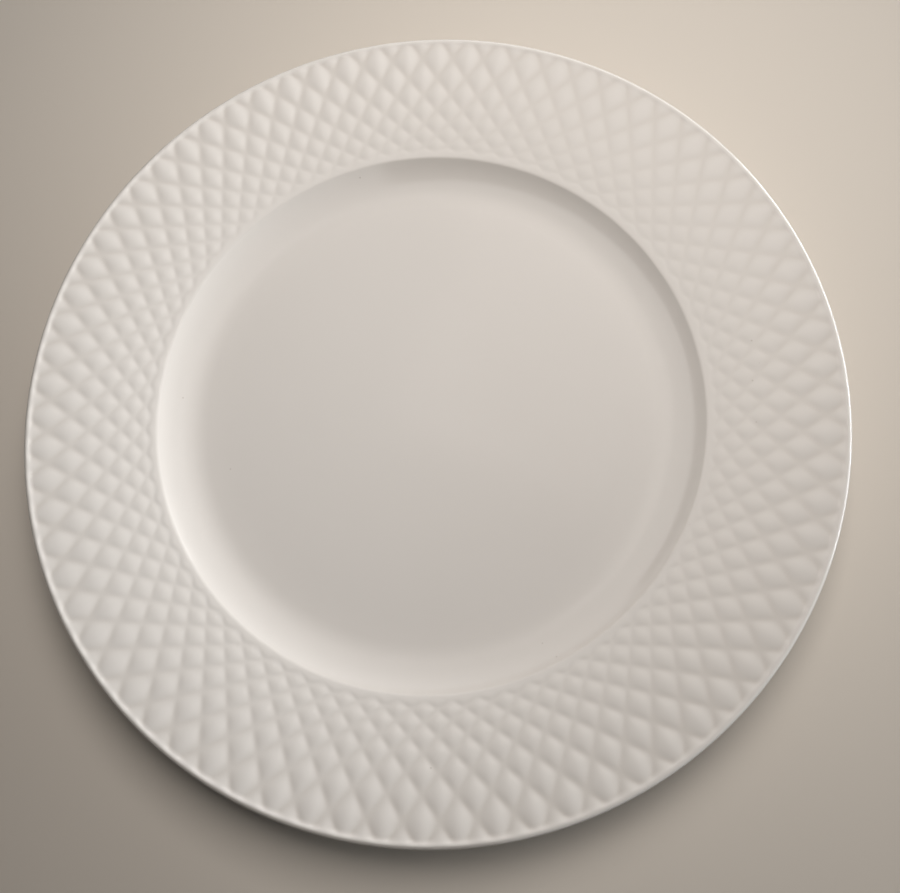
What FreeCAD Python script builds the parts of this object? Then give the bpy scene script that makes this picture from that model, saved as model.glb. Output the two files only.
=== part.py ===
"""Round glazed dinner plate with a diamond lattice pressed into its wide rim.

Millimetres, +Z up. The origin is the centre of the circle that the foot ring stands on.
The plate is one solid: a turned blank whose rim is cut by two mirrored sets of
straight V grooves. A hyperboloid carries both sets, because straight lines lie in it.
"""
import FreeCAD
import Part
import math
import os

# Rim and lip
PLATE_RADIUS = 135.0
LIP_HEIGHT = 25.0
LIP_BEAD_RADIUS = 1.7
LIP_WIDTH = 2.2

# Well
SHOULDER_RADIUS = 94.5
SHOULDER_HEIGHT = 14.6
SHOULDER_ROUND = 1.8
WELL_WALL_ROUND = 18.0
WELL_FLOOR_HEIGHT = 6.6
BASE_THICKNESS = 4.4

# Underside and foot ring
UNDER_SHOULDER_ROUND = 9.0
FOOT_INSET = 2.3
FOOT_LAND_WIDTH = 1.6
FOOT_EDGE_ROUND = 0.8
FOOT_DRAFT_ANGLE = 20.0

# Diamond lattice
GROOVES_PER_SET = 73
GROOVE_LEAN_AT_SHOULDER = 54.8
SET_TURN = 1.05
LATTICE_MARGIN = 0.5
PLAIN_BAND_WIDTH = 0.6
GROOVE_DEPTH_AT_LIP = 0.85
GROOVE_FLANK_ANGLE = 24.0
CUTTER_HEIGHT = 3.0
CUTTER_OVERRUN = 4.0

AXIS = FreeCAD.Vector(0, 0, 1)
CENTRE = FreeCAD.Vector(0, 0, 0)

# Circle that every groove touches, seen from above
LATTICE_CORE_RADIUS = SHOULDER_RADIUS * math.sin(math.radians(GROOVE_LEAN_AT_SHOULDER))


def point(radius, height):
    """Point of the section, which lies in the XZ plane."""
    return FreeCAD.Vector(radius, 0, height)


def on_circle(centre, radius, angle):
    """Point of a circle in the section. The angle is in radians from the outward direction."""
    return centre + point(radius * math.cos(angle), radius * math.sin(angle))


def arc(centre, radius, start, end):
    """Arc of the section between two angles in radians."""
    middle = on_circle(centre, radius, 0.5 * (start + end))
    return Part.Arc(on_circle(centre, radius, start), middle, on_circle(centre, radius, end)).toShape()


def last_meeting(start, direction, centre, radius):
    """Last point that a straight line, followed in a direction, shares with a circle."""
    offset = start - centre
    half = offset.dot(direction)
    run = math.sqrt(half ** 2 - offset.dot(offset) + radius ** 2) - half
    return start + direction * run


def reach(radius):
    """Distance along a groove from where it touches the core circle, seen from above."""
    return math.sqrt(radius ** 2 - LATTICE_CORE_RADIUS ** 2)


# Where the rim's upper face begins and ends, and how steeply it climbs along a groove
lip_centre = point(PLATE_RADIUS - LIP_BEAD_RADIUS, LIP_HEIGHT - LIP_BEAD_RADIUS)
rim_end_radius = PLATE_RADIUS - LIP_WIDTH
rim_end_angle = math.acos((rim_end_radius - lip_centre.x) / LIP_BEAD_RADIUS)
rim_end = on_circle(lip_centre, LIP_BEAD_RADIUS, rim_end_angle)
rim_start = point(SHOULDER_RADIUS, SHOULDER_HEIGHT)
CLIMB = (rim_end.z - rim_start.z) / (reach(rim_end.x) - reach(rim_start.x))
RIM_BASE_HEIGHT = rim_start.z - CLIMB * reach(rim_start.x)


def rim_edge():
    """Upper face of the rim: the meridian of the hyperboloid that holds the straight grooves."""
    curve = Part.Hyperbola()
    curve.Center = point(0, RIM_BASE_HEIGHT)
    curve.MajorRadius = LATTICE_CORE_RADIUS
    curve.MinorRadius = LATTICE_CORE_RADIUS * CLIMB
    curve.Axis = FreeCAD.Vector(0, -1, 0)
    return curve.toBSpline(curve.parameter(rim_start), curve.parameter(rim_end)).toShape()


def upper_edges():
    """Well floor, well wall and shoulder, from the axis out to the rim."""
    slope = math.atan(CLIMB * rim_start.x / reach(rim_start.x))
    shoulder_centre = on_circle(rim_start, SHOULDER_ROUND, slope - math.pi / 2)
    wall_height = WELL_FLOOR_HEIGHT + WELL_WALL_ROUND
    between = WELL_WALL_ROUND + SHOULDER_ROUND
    steepest = math.acos((wall_height - shoulder_centre.z) / between)
    wall_centre = point(shoulder_centre.x - between * math.sin(steepest), wall_height)
    floor_edge = point(wall_centre.x, WELL_FLOOR_HEIGHT)
    floor = Part.makeLine(point(0, WELL_FLOOR_HEIGHT), floor_edge)
    wall = arc(wall_centre, WELL_WALL_ROUND, -math.pi / 2, steepest - math.pi / 2)
    shoulder = arc(shoulder_centre, SHOULDER_ROUND, steepest + math.pi / 2, slope + math.pi / 2)
    return [floor, wall, shoulder], wall_centre


def underside_edges(wall_centre):
    """Lip bead, rim underside, hollow under the shoulder, foot ring and base, back to the axis."""
    slope = math.atan2(rim_end.z - rim_start.z, rim_end.x - rim_start.x)
    outward = slope - math.pi / 2
    bead = arc(lip_centre, LIP_BEAD_RADIUS, rim_end_angle, outward)
    bead_end = on_circle(lip_centre, LIP_BEAD_RADIUS, outward)

    # The hollow's arc touches the rim underside and the outside of the well wall
    wall_radius = WELL_WALL_ROUND + BASE_THICKNESS
    between = wall_radius + UNDER_SHOULDER_ROUND
    guide = on_circle(lip_centre, LIP_BEAD_RADIUS + UNDER_SHOULDER_ROUND, outward)
    along = point(math.cos(slope), math.sin(slope))
    hollow_centre = last_meeting(guide, along, wall_centre, between)
    towards = hollow_centre - wall_centre
    turn = math.atan2(towards.z, towards.x)
    under_rim = Part.makeLine(bead_end, on_circle(hollow_centre, UNDER_SHOULDER_ROUND, slope + math.pi / 2))
    hollow = arc(hollow_centre, UNDER_SHOULDER_ROUND, slope + math.pi / 2, turn + math.pi)

    # Foot ring: two drafted sides and a narrow rounded land
    base_height = WELL_FLOOR_HEIGHT - BASE_THICKNESS
    foot_radius = wall_centre.x - FOOT_INSET
    draft = math.radians(FOOT_DRAFT_ANGLE)
    half_land = 0.5 * FOOT_LAND_WIDTH
    outer_round = point(foot_radius + half_land, FOOT_EDGE_ROUND)
    inner_round = point(foot_radius - half_land, FOOT_EDGE_ROUND)
    outer_side = on_circle(outer_round, FOOT_EDGE_ROUND, -draft)
    inner_side = on_circle(inner_round, FOOT_EDGE_ROUND, math.pi + draft)
    down = point(-math.sin(draft), -math.cos(draft))
    outer_root = last_meeting(outer_side, down, wall_centre, wall_radius)
    inner_root = point(inner_side.x - (base_height - inner_side.z) * math.tan(draft), base_height)
    fall = outer_root - wall_centre
    root_angle = math.atan2(fall.z, fall.x)
    outside = arc(wall_centre, wall_radius, turn, root_angle)
    return [
        bead,
        under_rim,
        hollow,
        outside,
        Part.makeLine(outer_root, outer_side),
        arc(outer_round, FOOT_EDGE_ROUND, -draft, -math.pi / 2),
        Part.makeLine(point(outer_round.x, 0), point(inner_round.x, 0)),
        arc(inner_round, FOOT_EDGE_ROUND, -math.pi / 2, draft - math.pi),
        Part.makeLine(inner_side, inner_root),
        Part.makeLine(inner_root, point(0, base_height)),
        Part.makeLine(point(0, base_height), point(0, WELL_FLOOR_HEIGHT)),
    ]


def blank():
    """The smooth plate, turned from its section."""
    upper, wall_centre = upper_edges()
    section = Part.Wire(upper + [rim_edge()] + underside_edges(wall_centre))
    return Part.Face(section).revolve(CENTRE, AXIS, 360)


def groove_bottom(angle, hand, distance):
    """Point on the bottom line of a groove, at a distance along it seen from above."""
    start = reach(SHOULDER_RADIUS + PLAIN_BAND_WIDTH)
    depth = GROOVE_DEPTH_AT_LIP * (distance - start) / (reach(rim_end.x) - start)
    outward = FreeCAD.Vector(math.cos(angle), math.sin(angle), 0)
    sideways = FreeCAD.Vector(-math.sin(angle), math.cos(angle), 0) * hand
    height = RIM_BASE_HEIGHT + CLIMB * distance - depth
    return outward * LATTICE_CORE_RADIUS + sideways * distance + AXIS * height


def groove_cutter(angle, hand):
    """Straight V prism of one groove. Hand is 1 or -1 for the two mirrored sets."""
    near = groove_bottom(angle, hand, reach(SHOULDER_RADIUS) - CUTTER_OVERRUN)
    far = groove_bottom(angle, hand, reach(rim_end.x) + CUTTER_OVERRUN)
    along = far - near
    middle = 0.5 * (reach(SHOULDER_RADIUS) + reach(rim_end.x))
    lean = FreeCAD.Vector(math.cos(angle), math.sin(angle), 0) * (CLIMB * LATTICE_CORE_RADIUS / middle)
    side = along.cross(AXIS - lean).normalize()
    up = side.cross(along).normalize()
    half_width = CUTTER_HEIGHT / math.tan(math.radians(GROOVE_FLANK_ANGLE))
    left = near + up * CUTTER_HEIGHT - side * half_width
    right = near + up * CUTTER_HEIGHT + side * half_width
    return Part.Face(Part.makePolygon([near, right, left, near])).extrude(along)


def lattice_limit():
    """Many-sided prism just inside the lip, where the grooves stop."""
    radius = rim_end.x - LATTICE_MARGIN
    sides = 2 * GROOVES_PER_SET
    corners = []
    for number in range(sides + 1):
        angle = 2 * math.pi * number / sides
        corners.append(FreeCAD.Vector(radius * math.cos(angle), radius * math.sin(angle), 0))
    return Part.Face(Part.makePolygon(corners)).extrude(AXIS * (LIP_HEIGHT + CUTTER_HEIGHT))


def lattice_cutters():
    """Both mirrored sets of grooves, spaced evenly round the plate."""
    limit = lattice_limit()
    cutters = []
    for number in range(GROOVES_PER_SET):
        for hand in (1, -1):
            angle = 2 * math.pi * number / GROOVES_PER_SET - hand * math.radians(SET_TURN)
            cutters.append(groove_cutter(angle, hand).common(limit))
    return cutters


def build():
    os.makedirs("parts", exist_ok=True)
    plate = blank().cut(lattice_cutters())
    plate.Solids[0].exportStep("parts/plate.step")


build()
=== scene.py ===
"""Glazed dinner plate with a diamond lattice rim, in a plain soft studio.

Metres, +Z up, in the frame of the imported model. The plate is turned from its section
as one closed skin, and a geometry node tree presses the lattice into its rim.
"""
import math

import bpy
from mathutils import Matrix, Vector


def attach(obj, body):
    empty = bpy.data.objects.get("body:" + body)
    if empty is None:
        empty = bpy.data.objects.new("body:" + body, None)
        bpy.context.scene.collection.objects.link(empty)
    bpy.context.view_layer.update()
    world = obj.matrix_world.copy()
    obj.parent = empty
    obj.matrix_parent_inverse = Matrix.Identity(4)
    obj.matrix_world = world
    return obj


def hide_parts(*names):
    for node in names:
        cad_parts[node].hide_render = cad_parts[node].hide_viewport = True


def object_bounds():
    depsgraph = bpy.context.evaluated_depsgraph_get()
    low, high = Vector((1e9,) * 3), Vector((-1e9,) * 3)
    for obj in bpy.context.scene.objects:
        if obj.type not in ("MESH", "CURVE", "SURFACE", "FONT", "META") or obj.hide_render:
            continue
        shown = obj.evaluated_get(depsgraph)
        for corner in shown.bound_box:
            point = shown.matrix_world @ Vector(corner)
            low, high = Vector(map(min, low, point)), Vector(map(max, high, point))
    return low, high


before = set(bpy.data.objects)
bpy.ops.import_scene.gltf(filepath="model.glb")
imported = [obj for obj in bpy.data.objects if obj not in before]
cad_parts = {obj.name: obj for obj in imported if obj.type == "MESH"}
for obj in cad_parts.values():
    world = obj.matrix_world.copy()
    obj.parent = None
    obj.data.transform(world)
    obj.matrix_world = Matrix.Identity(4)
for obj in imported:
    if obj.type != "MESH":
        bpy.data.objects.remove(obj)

CAD_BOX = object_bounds()

bl_info = {
    "name": "Lattice rim dinner plate",
    "version": (1, 0, 0),
    "blender": (4, 5, 0),
    "location": "3D View > Sidebar > Plate",
    "description": "Turns a glazed dinner plate, presses its lattice rim and sets a studio",
    "category": "Object",
}

# Driving sizes that follow from the frame
FULL_RADIUS = 0.5 * (CAD_BOX[1][0] - CAD_BOX[0][0])
FULL_HEIGHT = CAD_BOX[1][2]

# Corners round the lattice per groove, and how many times fewer the other rings have
STEPS_PER_PITCH = 16
FINE_TO_ROUND = 4
ROUND_TO_UNDER = 2

# Rings across each part of the section. The last lattice rows lie twice as close together.
FLOOR_SHARES = (0.25, 0.5, 0.75, 0.9)
WALL_STEPS = 12
SHOULDER_STEPS = 6
CLOSE_ROWS = 3
CREST_STEPS = 3
BEAD_STEPS = 12
UNDER_RIM_STEPS = 6
HOLLOW_STEPS = 8
OUTSIDE_STEPS = 12
FOOT_STEPS = 4
BASE_SHARES = (0.98, 0.75, 0.5, 0.25)

# Turns in radians: the fine rings of the lip end this far outward of its top, and the
# coarser ones go on after this much more
LIP_CREST = 0.3
LIP_STEP = 0.2

# Rings closer together than this are one ring
SAME_PLACE = 1e-7

# Glaze: scales of the noises, places in their range, and shares of what they change
CLOUD_SCALE = 14.0
THIN_SCALE = 31.0
SLOW_WAVE_SCALE = 70.0
FINE_WAVE_SCALE = 420.0
FINE_WAVE_SHARE = 0.06
WAVE_HEIGHT = 0.0004
SPECK_SCALE = 120.0
SPECK_EDGE = (0.025, 0.05)
SPECK_PATCHES = (0.60, 0.68)
SPECK_SHARE = 0.35
# The grooves are painted darker: painted shade in the recesses, partly thicker glaze lying there
GROOVE_SHADE_SHARE = 0.95
CLOUD_SHADE = 0.3
CLOUD_ROUGHNESS = 0.05
BARE_ROUGHNESS = 0.6
BARE_EDGE = (0.00004, 0.0003)

# Floor: half its width, and the distances from the axis between which it turns into the backdrop
FLOOR_REACH = 3.0
FLOOR_RUN_OUT = (0.24, 0.62)

# Mirrored room: the dim part lies to one side of the axis and below a tilted edge
DIM_SIDE = (-0.906, -0.423)
DIM_NARROWING = 0.26
DIM_SIDE_EDGE = (0.0, 0.06)
DIM_TOP_TILT = (-0.31, 0.33)
DIM_TOP_EDGE = (0.72, 0.78)
DIM_SHARE = 0.9

# Lamps: size, place, the point faced, and colour
WINDOW = ((1.6, 0.2), (1.25, 0.42, 0.15), (0.0, 0.0, 0.36), (0.93, 0.97, 1.0))
CEILING = ((0.22, 0.22), (0.062, 0.137, 0.367), (0.02, 0.041, 0.0), (1.0, 0.945, 0.895))

# Camera: place, and the directions of its right side and its back
CAMERA_PLACE = (0.024214, -0.056228, 0.23174)
CAMERA_RIGHT = (0.99763, 0.01532, -0.06711)
CAMERA_BACK = (0.06878, -0.18279, 0.98074)
CAMERA_SENSOR = 36.0
CAMERA_NEAR = 0.01


def length(name, description, default, **more):
    """Length in metres."""
    return bpy.props.FloatProperty(
        name=name, description=description, default=default,
        subtype="DISTANCE", unit="LENGTH", precision=4, min=0.0, **more)


def share(name, description, default):
    """Share from 0 to 1."""
    return bpy.props.FloatProperty(
        name=name, description=description, default=default,
        subtype="FACTOR", min=0.0, max=1.0)


def plain(name, description, default, **more):
    """Number without a unit."""
    return bpy.props.FloatProperty(name=name, description=description, default=default, **more)


def angle(name, description, degrees):
    """Angle, given in degrees and kept in radians."""
    return bpy.props.FloatProperty(
        name=name, description=description, default=math.radians(degrees), min=0.0,
        subtype="ANGLE", unit="ROTATION")


def colour(name, description, default):
    """Colour as linear red, green and blue."""
    return bpy.props.FloatVectorProperty(
        name=name, description=description, default=default,
        subtype="COLOR", size=3, min=0.0, max=1.0)


def power(name, description, default):
    """Power in watts."""
    return bpy.props.FloatProperty(
        name=name, description=description, default=default, min=0.0,
        subtype="POWER", unit="POWER")


class PlateSizes(bpy.types.PropertyGroup):
    """Sizes of the plate's section and of its lattice."""
    plate_radius: length("Plate radius", "From the axis to the outside of the lip", FULL_RADIUS)
    lip_height: length("Lip height", "From the table to the top of the lip", FULL_HEIGHT)
    lip_bead: length("Lip bead radius", "Roundness of the lip", 0.0017)
    lip_width: length("Lip width", "Plain lip seen from above", 0.0022)
    shoulder_radius: length("Shoulder radius", "Where the rim meets the well wall", 0.0945)
    shoulder_height: length("Shoulder height", "Height of the rim's inner edge", 0.0146)
    shoulder_round: length("Shoulder roundness", "Radius of the shoulder", 0.0018)
    wall_round: length("Wall roundness", "Radius of the well wall", 0.018)
    floor_height: length("Floor height", "Height of the well floor", 0.0066)
    base_thickness: length("Base thickness", "Thickness of the floor", 0.0044)
    under_round: length("Hollow roundness", "Radius of the hollow under the shoulder", 0.009)
    foot_inset: length("Foot inset", "From the edge of the floor in to the foot ring", 0.0023)
    foot_land: length("Foot land width", "Flat of the foot ring that stands on the table", 0.0016)
    foot_round: length("Foot roundness", "Radius of the foot ring's edges", 0.0008)
    foot_draft: angle("Foot draft", "Lean of the foot ring's sides", 20.0)
    grooves: bpy.props.IntProperty(
        name="Grooves per set", description="Straight grooves of each hand", default=73, min=3)
    groove_lean: angle("Groove lean", "From the spoke to the groove, at the shoulder", 54.8)
    set_turn: angle("Set turn", "How far each set of grooves is turned back", 1.05)
    band_start: length("Lattice start", "Radius at which the lattice begins", 0.0947)
    band_end: length("Lattice end", "Radius at which the lattice has run out", 0.1336)
    start_fade: length("Inner run-out", "Width over which the grooves begin", 0.0028)
    end_fade: length("Outer run-out", "Width over which the grooves end", 0.0016)
    inner_depth: length("Inner groove depth", "Depth of the lattice beside the shoulder", 0.00022)
    outer_depth: length("Outer groove depth", "Depth of the lattice beside the lip", 0.00056)
    groove_round: length("Groove roundness", "Half width of glaze that fills a groove", 0.0003)
    fullness: plain("Cell fullness", "How flat the top of each cell is", 2.2, min=1.0)


class GlazeLook(bpy.types.PropertyGroup):
    """Colours and gloss of the fired glaze, and the painted shade in its grooves."""
    body: colour("Glaze", "Clear glaze over the white body", (0.76, 0.73, 0.695))
    # Painted shade: this darker colour fills the grooves for the shade they hold, partly thicker
    # glaze lying there
    groove_shade: colour("Pooled glaze", "Thicker glaze in the grooves", (0.68, 0.642, 0.598))
    bare: colour("Bare foot", "Unglazed body on the foot ring", (0.60, 0.55, 0.48))
    gloss: share("Glaze roughness", "Roughness of the glaze", 0.12)
    waviness: share("Glaze waviness", "Strength of the slow waves in the glaze", 0.25)
    speck: colour("Speck", "Tiny fired-in specks", (0.34, 0.29, 0.23))


class StudioLook(bpy.types.PropertyGroup):
    """Floor, lamps and camera."""
    floor: colour("Floor", "Pale floor", (0.73, 0.675, 0.605))
    sky: colour("Surround", "Soft light from all round", (1.0, 0.985, 0.97))
    sky_level: plain("Surround level", "Strength of the light from all round", 0.02, min=0.0)
    gleam_level: plain("Gleam level", "Strength of the mirrored room", 1.6, min=0.0)
    backdrop_level: plain("Backdrop level", "Strength of the pale backdrop", 0.55, min=0.0)
    window_level: power("Window light", "Power of the low wide lamp", 17.2)
    ceiling_level: power("Ceiling light", "Power of the soft lamp overhead", 1.2)
    lens: plain("Lens", "Focal length in millimetres", 26.4, min=1.0)
    rise: plain("Camera rise", "Vertical shift of the camera", 0.00554)


class Maths:
    """Value in a node tree, with the operators that build Math nodes."""

    def __init__(self, tree, socket):
        self.tree = tree
        self.socket = socket

    def apply(self, operation, *others, swap=False):
        """Math node on this value and others. Swap puts the other value first."""
        values = (others[0], self) if swap else (self,) + others
        made = self.tree.add("ShaderNodeMath", {"operation": operation}, dict(enumerate(values)))
        return Maths(self.tree, made.outputs[0])

    def __add__(self, other):
        return self.apply("ADD", other)

    __radd__ = __add__

    def __sub__(self, other):
        return self.apply("SUBTRACT", other)

    def __rsub__(self, other):
        return self.apply("SUBTRACT", other, swap=True)

    def __mul__(self, other):
        return self.apply("MULTIPLY", other)

    __rmul__ = __mul__

    def __truediv__(self, other):
        return self.apply("DIVIDE", other)

    def __rtruediv__(self, other):
        return self.apply("DIVIDE", other, swap=True)

    def __pow__(self, other):
        return self.apply("POWER", other)

    def __neg__(self):
        return self.apply("MULTIPLY", -1.0)

    def __abs__(self):
        return self.apply("ABSOLUTE")

    def root(self):
        """Square root."""
        return self.apply("SQRT")

    def nearest(self):
        """Nearest whole number."""
        return self.apply("ROUND")

    def least(self, other):
        return self.apply("MINIMUM", other)

    def most(self, other):
        return self.apply("MAXIMUM", other)

    def ease(self, start, end):
        """Smooth climb from 0 at start to 1 at end."""
        made = self.tree.add(
            "ShaderNodeMapRange", {"interpolation_type": "SMOOTHSTEP"},
            {"Value": self, "From Min": start, "From Max": end})
        return Maths(self.tree, made.outputs["Result"])


class Tree:
    """Node tree with one method that makes every node and links or sets its inputs."""

    def __init__(self, nodes):
        self.nodes = nodes

    def add(self, kind, settings=None, inputs=None):
        node = self.nodes.nodes.new(kind)
        for name, value in (settings or {}).items():
            setattr(node, name, value)
        for name, value in (inputs or {}).items():
            self.feed(node.inputs[name], value)
        return node

    def feed(self, socket, value):
        if isinstance(value, Maths):
            self.nodes.links.new(value.socket, socket)
        elif isinstance(value, bpy.types.NodeSocket):
            self.nodes.links.new(value, socket)
        else:
            socket.default_value = value

    def value(self, socket):
        """Output as a value to calculate with."""
        return Maths(self, socket)

    def axes(self, place, count=3):
        """Coordinates of a vector output."""
        split = self.add("ShaderNodeSeparateXYZ", None, {0: place})
        return [self.value(socket) for socket in split.outputs[:count]]


class Section:
    """Rings of the turned skin, from the middle of the floor round to the middle of the base."""

    def __init__(self):
        self.rings = []

    def ring(self, place, count, relief=0.0):
        """Add a ring, unless it would lie on the one before it."""
        if not self.rings or math.dist(place, self.rings[-1][:2]) > SAME_PLACE:
            self.rings.append((place[0], place[1], count, relief))

    def arc(self, centre, radius, start, end, steps, count, relief=0.0):
        """Rings along an arc, with both its ends."""
        for number in range(steps + 1):
            turn = start + (end - start) * number / steps
            self.ring(around(centre, radius, turn), count, relief)

    def line(self, start, end, steps, count):
        """Rings along a straight line, without its ends."""
        for number in range(1, steps):
            part = number / steps
            self.ring([a + (b - a) * part for a, b in zip(start, end)], count)


def around(centre, radius, turn):
    """Point on a circle of the section, as radius and height."""
    return (centre[0] + radius * math.cos(turn), centre[1] + radius * math.sin(turn))


def last_meeting(start, direction, centre, radius):
    """Last point that a straight line, followed in a direction, shares with a circle."""
    offset = (start[0] - centre[0], start[1] - centre[1])
    half = offset[0] * direction[0] + offset[1] * direction[1]
    run = math.sqrt(half ** 2 - offset[0] ** 2 - offset[1] ** 2 + radius ** 2) - half
    return (start[0] + direction[0] * run, start[1] + direction[1] * run)


def plate_section(sizes):
    """The plate's section as rings: radius, height, count of corners and share of relief."""
    core = sizes.shoulder_radius * math.sin(sizes.groove_lean)
    pitch = 2 * math.pi / sizes.grooves
    fine = sizes.grooves * STEPS_PER_PITCH
    rounded = fine // FINE_TO_ROUND
    under = rounded // ROUND_TO_UNDER
    bead = sizes.lip_bead
    lip = (sizes.plate_radius - bead, sizes.lip_height - bead)
    lip_turn = math.acos((sizes.plate_radius - sizes.lip_width - lip[0]) / bead)
    rim_end = around(lip, bead, lip_turn)
    rim_start = (sizes.shoulder_radius, sizes.shoulder_height)

    def reach(radius):
        return math.sqrt(radius ** 2 - core ** 2)

    climb = (rim_end[1] - rim_start[1]) / (reach(rim_end[0]) - reach(rim_start[0]))

    def rim_height(radius):
        return rim_start[1] + climb * (reach(radius) - reach(rim_start[0]))

    skin = Section()

    # Well floor, wall and shoulder
    slope = math.atan(climb * rim_start[0] / reach(rim_start[0]))
    shoulder = around(rim_start, sizes.shoulder_round, slope - math.pi / 2)
    wall_height = sizes.floor_height + sizes.wall_round
    between = sizes.wall_round + sizes.shoulder_round
    steepest = math.acos((wall_height - shoulder[1]) / between)
    wall = (shoulder[0] - between * math.sin(steepest), wall_height)
    skin.ring((0.0, sizes.floor_height), 1)
    for part in FLOOR_SHARES:
        skin.ring((wall[0] * part, sizes.floor_height), under)
    skin.arc(wall, sizes.wall_round, -math.pi / 2, steepest - math.pi / 2, WALL_STEPS, rounded)
    skin.arc(
        shoulder, sizes.shoulder_round, steepest + math.pi / 2, slope + math.pi / 2,
        SHOULDER_STEPS, rounded)

    # Rim: the lattice rows are as far apart as the columns, so grooves run through the corners
    row = pitch / STEPS_PER_PITCH
    first = math.ceil((math.acos(core / sizes.band_start) - sizes.set_turn) / row)
    last = math.floor((math.acos(core / min(sizes.band_end, rim_end[0])) - sizes.set_turn) / row)
    rows = [first + n for n in range(last - CLOSE_ROWS - first)]
    rows += [last - 0.5 * n for n in range(2 * CLOSE_ROWS, -1, -1)]
    for number in rows:
        radius = core / math.cos(row * number + sizes.set_turn)
        skin.ring((radius, rim_height(radius)), fine, 1.0)

    # Lip, with the ends of the grooves on its inner side, then underside and hollow
    under_slope = math.atan2(rim_end[1] - rim_start[1], rim_end[0] - rim_start[0])
    outward = under_slope - math.pi / 2
    crest = math.pi / 2 - LIP_CREST
    skin.arc(lip, bead, lip_turn, crest, CREST_STEPS, fine, 1.0)
    skin.arc(lip, bead, crest - LIP_STEP, outward, BEAD_STEPS, rounded)
    wall_outside = sizes.wall_round + sizes.base_thickness
    guide = around(lip, bead + sizes.under_round, outward)
    along = (math.cos(under_slope), math.sin(under_slope))
    hollow = last_meeting(guide, along, wall, wall_outside + sizes.under_round)
    towards = math.atan2(hollow[1] - wall[1], hollow[0] - wall[0])
    hollow_turn = under_slope + math.pi / 2
    hollow_start = around(hollow, sizes.under_round, hollow_turn)
    skin.line(around(lip, bead, outward), hollow_start, UNDER_RIM_STEPS, under)
    skin.arc(hollow, sizes.under_round, hollow_turn, towards + math.pi, HOLLOW_STEPS, under)

    # Outside of the wall, foot ring and base
    base = sizes.floor_height - sizes.base_thickness
    foot = wall[0] - sizes.foot_inset
    draft = sizes.foot_draft
    outer = (foot + 0.5 * sizes.foot_land, sizes.foot_round)
    inner = (foot - 0.5 * sizes.foot_land, sizes.foot_round)
    side = around(outer, sizes.foot_round, -draft)
    root = last_meeting(side, (-math.sin(draft), -math.cos(draft)), wall, wall_outside)
    root_turn = math.atan2(root[1] - wall[1], root[0] - wall[0])
    inside = around(inner, sizes.foot_round, math.pi + draft)
    inside_root = (inside[0] - (base - inside[1]) * math.tan(draft), base)
    skin.arc(wall, wall_outside, towards, root_turn, OUTSIDE_STEPS, under)
    skin.arc(outer, sizes.foot_round, -draft, -math.pi / 2, FOOT_STEPS, under)
    skin.arc(inner, sizes.foot_round, -math.pi / 2, draft - math.pi, FOOT_STEPS, under)
    skin.ring(inside_root, under)
    for part in BASE_SHARES:
        skin.ring((inside_root[0] * part, base), under)
    skin.ring((0.0, base), 1)
    return skin.rings


def ring_faces(inner, inner_count, outer, outer_count):
    """Faces between two rings whose counts divide evenly, each given by its first corner."""
    if inner_count == 1:
        return [(inner, outer + n, outer + (n + 1) % outer_count) for n in range(outer_count)]
    if outer_count == 1:
        return [(outer, inner + (n + 1) % inner_count, inner + n) for n in range(inner_count)]
    share_out = max(1, outer_count // inner_count)
    share_in = max(1, inner_count // outer_count)
    faces = []
    for number in range(min(inner_count, outer_count)):
        ins = [inner + (number * share_in + n) % inner_count for n in range(share_in + 1)]
        outs = [outer + (number * share_out + n) % outer_count for n in range(share_out + 1)]
        if len(ins) == len(outs):
            faces.append((ins[0], outs[0], outs[1], ins[1]))
            continue
        middle = (share_in + share_out) // 2
        if share_out > 1:
            faces += [(ins[0], outs[n], outs[n + 1]) for n in range(middle)]
            faces.append((ins[0], outs[middle], ins[1]))
            faces += [(ins[1], outs[n], outs[n + 1]) for n in range(middle, share_out)]
        else:
            faces += [(outs[0], ins[n + 1], ins[n]) for n in range(middle)]
            faces.append((outs[0], outs[1], ins[middle]))
            faces += [(outs[1], ins[n + 1], ins[n]) for n in range(middle, share_in)]
    return faces


def turned_skin(rings):
    """Closed mesh of the smooth plate, with the share of relief that each corner takes."""
    corners = []
    faces = []
    relief = []
    starts = []
    for radius, height, count, share_of_relief in rings:
        starts.append(len(corners))
        for number in range(count):
            turn = 2 * math.pi * number / count
            corners.append((radius * math.cos(turn), radius * math.sin(turn), height))
            relief.append(share_of_relief)
    counts = [ring[2] for ring in rings]
    for first, first_count, second, second_count in zip(starts, counts, starts[1:], counts[1:]):
        faces += ring_faces(first, first_count, second, second_count)
    mesh = bpy.data.meshes.new("plate_skin")
    mesh.from_pydata(corners, [], faces)
    mesh.attributes.new("lattice_share", "FLOAT", "POINT").data.foreach_set("value", relief)
    mesh.shade_smooth()
    if mesh.validate():
        raise RuntimeError("the plate's skin has faulty faces")
    return mesh


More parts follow.
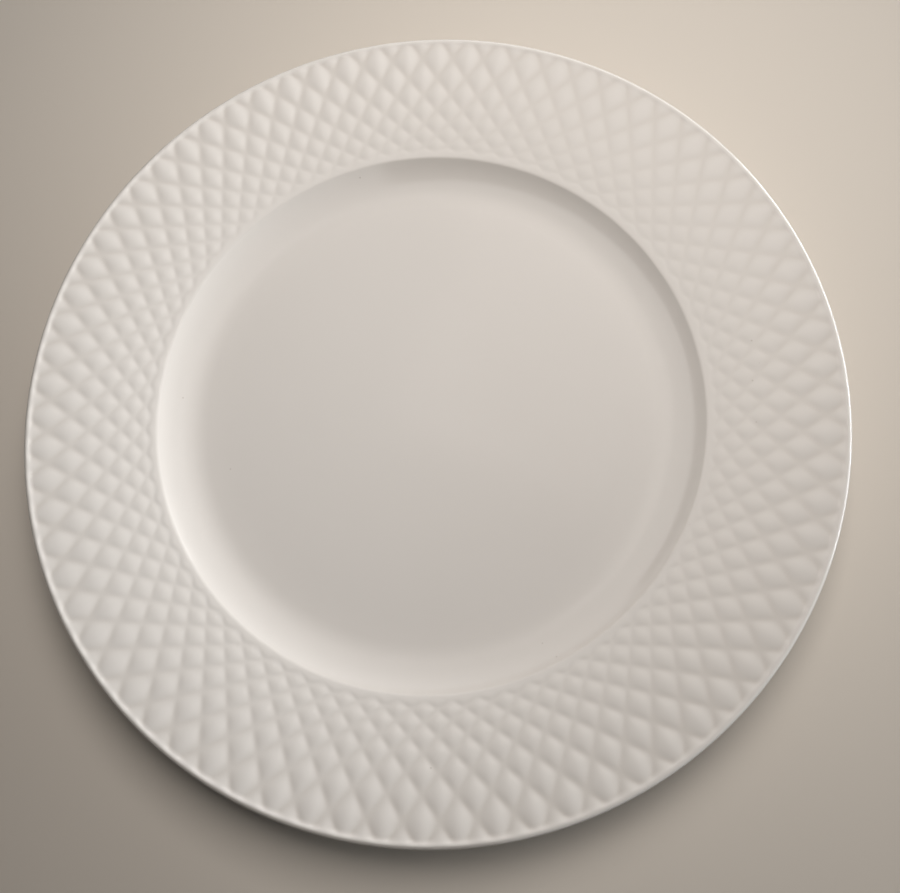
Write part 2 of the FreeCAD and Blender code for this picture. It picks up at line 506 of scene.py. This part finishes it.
def lattice_tree(material):
    """Presses two mirrored sets of straight grooves into the rim, with a soft cell between them."""
    group = bpy.data.node_groups.new("Lattice rim", "GeometryNodeTree")
    face = group.interface
    face.new_socket("Plate", in_out="INPUT", socket_type="NodeSocketGeometry")
    names = (
        "Grooves per set", "Core radius", "Set turn", "Lattice start", "Lattice end",
        "Inner run-out", "Outer run-out", "Inner groove depth", "Outer groove depth",
        "Groove roundness", "Cell fullness")
    for name in names:
        face.new_socket(name, in_out="INPUT", socket_type="NodeSocketFloat")
    face.new_socket("Plate", in_out="OUTPUT", socket_type="NodeSocketGeometry")
    tree = Tree(group)
    given = tree.add("NodeGroupInput").outputs
    grooves, core, back, start, end, fade_in, fade_out, inner, outer, soften, fullness = [
        tree.value(given[name]) for name in names]

    # Where a corner lies along and across the grooves of each hand
    x, y = tree.axes(tree.add("GeometryNodeInputPosition").outputs[0], 2)
    radius = (x * x + y * y).root()
    turn = y.apply("ARCTAN2", x)
    pitch = 2 * math.pi / grooves
    lean = (core / radius.most(core)).apply("ARCCOSINE") - back
    half_cell = 0.5 * pitch * (radius * radius - core * core).most(1e-8).root()

    def rise(across):
        """Height of the pillow between two grooves of one hand, from 0 to 1."""
        off = abs(across - across.nearest()) * 2
        glaze = soften / half_cell
        off = (off * off + glaze * glaze).root() - glaze
        return 1 - (1 - off).most(0.0) ** fullness

    cell = rise((turn - lean) / pitch) * rise((turn + lean) / pitch)
    taken = tree.add(
        "GeometryNodeInputNamedAttribute", {"data_type": "FLOAT"}, {"Name": "lattice_share"})
    along = ((radius - start) / (end - start)).most(0.0).least(1.0)
    depth = inner + (outer - inner) * along
    held = radius.ease(start, start + fade_in) * (1 - radius.ease(end - fade_out, end))
    press = (1 - cell) * depth * held * tree.value(taken.outputs["Attribute"])

    shift = tree.add("ShaderNodeCombineXYZ", None, {2: -press})
    moved = tree.add("GeometryNodeSetPosition", None, {
        "Geometry": given["Plate"], "Offset": shift.outputs[0]})
    # Keep how deep each corner is pressed; the glaze paints shade into the grooves by it
    kept = tree.add(
        "GeometryNodeStoreNamedAttribute", {"data_type": "FLOAT", "domain": "POINT"},
        {"Geometry": moved.outputs[0], "Name": "shaded_groove_depth", "Value": press / outer})
    real = tree.add("GeometryNodeRealizeInstances", None, {0: kept.outputs[0]})
    finish = tree.add("GeometryNodeSetMaterial", None, {
        "Geometry": real.outputs[0], "Material": material})
    tree.add("NodeGroupOutput", None, {0: finish.outputs[0]})
    return group


def emptied(holder):
    """Empty node tree of a new material or world."""
    holder.use_nodes = True
    holder.node_tree.nodes.clear()
    return Tree(holder.node_tree)


def glaze_material(look):
    """Glossy clear glaze over white porcelain, bare on the land of the foot ring, with painted
    shade in the grooves.
    """
    material = bpy.data.materials.new("Porcelain glaze")
    tree = emptied(material)
    place = tree.add("ShaderNodeTexCoord").outputs["Object"]
    height = tree.axes(place)[2]
    pressed_in = tree.add("ShaderNodeAttribute", {"attribute_name": "shaded_groove_depth"})
    groove_shade_weight = tree.value(pressed_in.outputs["Fac"])

    def noise(scale, detail):
        made = tree.add("ShaderNodeTexNoise", None, {
            "Vector": place, "Scale": scale, "Detail": detail})
        return tree.value(made.outputs["Fac"])

    def blend(factor, first, second):
        made = tree.add("ShaderNodeMix", {"data_type": "RGBA"}, {0: factor, 6: first, 7: second})
        return made.outputs[2]

    cloud = noise(CLOUD_SCALE, 2.0)
    dots = tree.add("ShaderNodeTexVoronoi", None, {"Vector": place, "Scale": SPECK_SCALE})
    thin = noise(THIN_SCALE, 1.0)
    dot = 1 - tree.value(dots.outputs["Distance"]).ease(*SPECK_EDGE)
    speck = dot * thin.ease(*SPECK_PATCHES)
    land = 1 - height.ease(*BARE_EDGE)

    # Painted shade: the deeper a corner lies in a groove, the more it takes the darker groove
    # colour; the cloud noise varies the tone at random
    shade = (groove_shade_weight * groove_shade_weight * GROOVE_SHADE_SHARE + (cloud - 0.5) * CLOUD_SHADE).most(0.0).least(1.0)
    glazed = blend(shade, (*look.body, 1.0), (*look.groove_shade, 1.0))
    marked = blend(speck * SPECK_SHARE, glazed, (*look.speck, 1.0))
    final = blend(land, marked, (*look.bare, 1.0))
    rough = look.gloss + (cloud - 0.5) * CLOUD_ROUGHNESS + land * BARE_ROUGHNESS

    wave = noise(SLOW_WAVE_SCALE, 1.0) + noise(FINE_WAVE_SCALE, 2.0) * FINE_WAVE_SHARE
    bump = tree.add("ShaderNodeBump", None, {
        "Strength": look.waviness, "Distance": WAVE_HEIGHT, "Height": wave})
    shader = tree.add("ShaderNodeBsdfPrincipled", None, {
        "Base Color": final, "Roughness": rough, "Normal": bump.outputs[0],
        "IOR": 1.5, "Specular IOR Level": 0.5})
    tree.add("ShaderNodeOutputMaterial", None, {"Surface": shader.outputs[0]})
    return material


def floor_material(look):
    """Plain pale matt floor that runs out into the backdrop, well away from the plate."""
    material = bpy.data.materials.new("Pale floor")
    tree = emptied(material)
    matt = tree.add("ShaderNodeBsdfPrincipled", None, {
        "Base Color": (*look.floor, 1.0), "Roughness": 0.8, "Specular IOR Level": 0.2})
    backdrop = tree.add("ShaderNodeEmission", None, {
        "Color": (*look.sky, 1.0), "Strength": look.backdrop_level})
    x, y = tree.axes(tree.add("ShaderNodeTexCoord").outputs["Object"], 2)
    seen = tree.value(tree.add("ShaderNodeLightPath").outputs["Is Camera Ray"])
    away = (x * x + y * y).root().ease(*FLOOR_RUN_OUT)
    joined = tree.add("ShaderNodeMixShader", None, {
        0: away * seen, 1: matt.outputs[0], 2: backdrop.outputs[0]})
    tree.add("ShaderNodeOutputMaterial", None, {"Surface": joined.outputs[0]})
    return material


def pressed(skin, group, values):
    """Plain mesh of a skin after a node tree has shaped it."""
    blank = bpy.data.objects.new("plate_blank", skin)
    bpy.context.scene.collection.objects.link(blank)
    modifier = blank.modifiers.new("Lattice", "NODES")
    modifier.node_group = group
    for item in group.interface.items_tree:
        if item.in_out == "INPUT" and item.name in values:
            modifier[item.identifier] = values[item.name]
    graph = bpy.context.evaluated_depsgraph_get()
    mesh = bpy.data.meshes.new_from_object(blank.evaluated_get(graph), depsgraph=graph)
    bpy.data.objects.remove(blank)
    return mesh


class PLATE_OT_turn_plate(bpy.types.Operator):
    """Turn the plate, press its lattice rim and glaze it"""
    bl_idname = "plate.turn_plate"
    bl_label = "Turn the plate"
    bl_options = {"REGISTER", "UNDO"}

    def execute(self, context):
        sizes = context.scene.plate_sizes
        material = glaze_material(context.scene.glaze_look)
        skin = turned_skin(plate_section(sizes))
        values = {
            "Grooves per set": float(sizes.grooves),
            "Core radius": sizes.shoulder_radius * math.sin(sizes.groove_lean),
            "Set turn": sizes.set_turn,
            "Lattice start": sizes.band_start,
            "Lattice end": sizes.band_end,
            "Inner run-out": sizes.start_fade,
            "Outer run-out": sizes.end_fade,
            "Inner groove depth": sizes.inner_depth,
            "Outer groove depth": sizes.outer_depth,
            "Groove roundness": sizes.groove_round,
            "Cell fullness": sizes.fullness,
        }
        mesh = pressed(skin, lattice_tree(material), values)
        if not mesh.polygons:
            raise RuntimeError("the lattice left no plate")
        mesh.name = "dinner_plate"
        piece = bpy.data.objects.new("dinner_plate", mesh)
        context.scene.collection.objects.link(piece)
        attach(piece, "root")
        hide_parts("plate")
        return {"FINISHED"}


class PLATE_OT_set_studio(bpy.types.Operator):
    """Lay the floor and place the lamps and the camera"""
    bl_idname = "plate.set_studio"
    bl_label = "Set the studio"
    bl_options = {"REGISTER", "UNDO"}

    def execute(self, context):
        scene = context.scene
        look = scene.studio_look
        scene.view_settings.view_transform = "Standard"
        lay_floor(scene, look)
        light_surround(scene, look)
        hang_lamps(scene, look)
        place_camera(scene, look)
        return {"FINISHED"}


def lay_floor(scene, look):
    """Wide flat floor on which the foot ring stands."""
    square = ((-1, -1), (1, -1), (1, 1), (-1, 1))
    corners = [(x * FLOOR_REACH, y * FLOOR_REACH, 0) for x, y in square]
    mesh = bpy.data.meshes.new("floor")
    mesh.from_pydata(corners, [], [(0, 1, 2, 3)])
    mesh.materials.append(floor_material(look))
    floor = bpy.data.objects.new("floor", mesh)
    scene.collection.objects.link(floor)


def light_surround(scene, look):
    """Faint even light, a pale backdrop, and a room that the glaze mirrors, dim at one side."""
    world = bpy.data.worlds.new("Soft surround")
    scene.world = world
    tree = emptied(world)
    x, y, z = tree.axes(tree.add("ShaderNodeTexCoord").outputs["Generated"])
    side = x * DIM_SIDE[0] + y * DIM_SIDE[1] - (x * x + y * y).root() * DIM_NARROWING
    above = (z + x * DIM_TOP_TILT[0] + y * DIM_TOP_TILT[1]).ease(*DIM_TOP_EDGE)
    room = 1 - side.ease(*DIM_SIDE_EDGE) * (1 - above) * DIM_SHARE
    ray = tree.add("ShaderNodeLightPath").outputs
    mirrored = tree.value(ray["Is Glossy Ray"]) * (look.gleam_level - look.sky_level) * room
    backdrop = tree.value(ray["Is Camera Ray"]) * (look.backdrop_level - look.sky_level)
    strength = look.sky_level + mirrored + backdrop
    light = tree.add("ShaderNodeBackground", None, {
        "Color": (*look.sky, 1.0), "Strength": strength})
    tree.add("ShaderNodeOutputWorld", None, {"Surface": light.outputs[0]})


def facing(position, target):
    """Turn that points a lamp from a place at a target."""
    return (Vector(position) - Vector(target)).to_track_quat("Z", "Y").to_matrix().to_4x4()


def hang_lamps(scene, look):
    """A low wide window to the right, and a soft lamp overhead that the glaze doesn't mirror."""
    lamps = (("window", look.window_level, WINDOW), ("ceiling", look.ceiling_level, CEILING))
    for name, level, (size, place, target, tint) in lamps:
        lamp = bpy.data.lights.new(name, "AREA")
        lamp.shape = "RECTANGLE"
        lamp.size, lamp.size_y = size
        lamp.energy = level
        lamp.color = tint
        hung = bpy.data.objects.new(name, lamp)
        hung.matrix_world = Matrix.Translation(place) @ facing(place, target)
        hung.visible_glossy = name == "window"
        scene.collection.objects.link(hung)


def place_camera(scene, look):
    """Camera above the plate, leaning back a little, at the photograph's viewing angle."""
    camera = bpy.data.cameras.new("view")
    camera.sensor_width = CAMERA_SENSOR
    camera.lens = look.lens
    camera.shift_y = look.rise
    camera.clip_start = CAMERA_NEAR
    back = Vector(CAMERA_BACK).normalized()
    up = back.cross(Vector(CAMERA_RIGHT)).normalized()
    right = up.cross(back)
    turn = Matrix((right, up, back)).transposed().to_4x4()
    view = bpy.data.objects.new("view", camera)
    view.matrix_world = Matrix.Translation(CAMERA_PLACE) @ turn
    scene.collection.objects.link(view)
    scene.camera = view


class PLATE_PT_tools(bpy.types.Panel):
    """Lists the plate's sizes, its finish and the studio."""
    bl_label = "Plate"
    bl_idname = "PLATE_PT_tools"
    bl_space_type = "VIEW_3D"
    bl_region_type = "UI"
    bl_category = "Plate"

    def draw(self, context):
        scene = context.scene
        parts = (
            (scene.plate_sizes, PlateSizes, PLATE_OT_turn_plate),
            (scene.glaze_look, GlazeLook, None),
            (scene.studio_look, StudioLook, PLATE_OT_set_studio),
        )
        for values, kind, operator in parts:
            box = self.layout.box()
            for name in kind.__annotations__:
                box.prop(values, name)
            if operator:
                box.operator(operator.bl_idname)


CLASSES = (
    PlateSizes, GlazeLook, StudioLook, PLATE_OT_turn_plate, PLATE_OT_set_studio, PLATE_PT_tools)


def register():
    for kind in CLASSES:
        bpy.utils.register_class(kind)
    bpy.types.Scene.plate_sizes = bpy.props.PointerProperty(type=PlateSizes)
    bpy.types.Scene.glaze_look = bpy.props.PointerProperty(type=GlazeLook)
    bpy.types.Scene.studio_look = bpy.props.PointerProperty(type=StudioLook)


def unregister():
    del bpy.types.Scene.studio_look
    del bpy.types.Scene.glaze_look
    del bpy.types.Scene.plate_sizes
    for kind in reversed(CLASSES):
        bpy.utils.unregister_class(kind)


def main():
    register()
    bpy.ops.plate.turn_plate()
    bpy.ops.plate.set_studio()


if __name__ == "__main__":
    main()
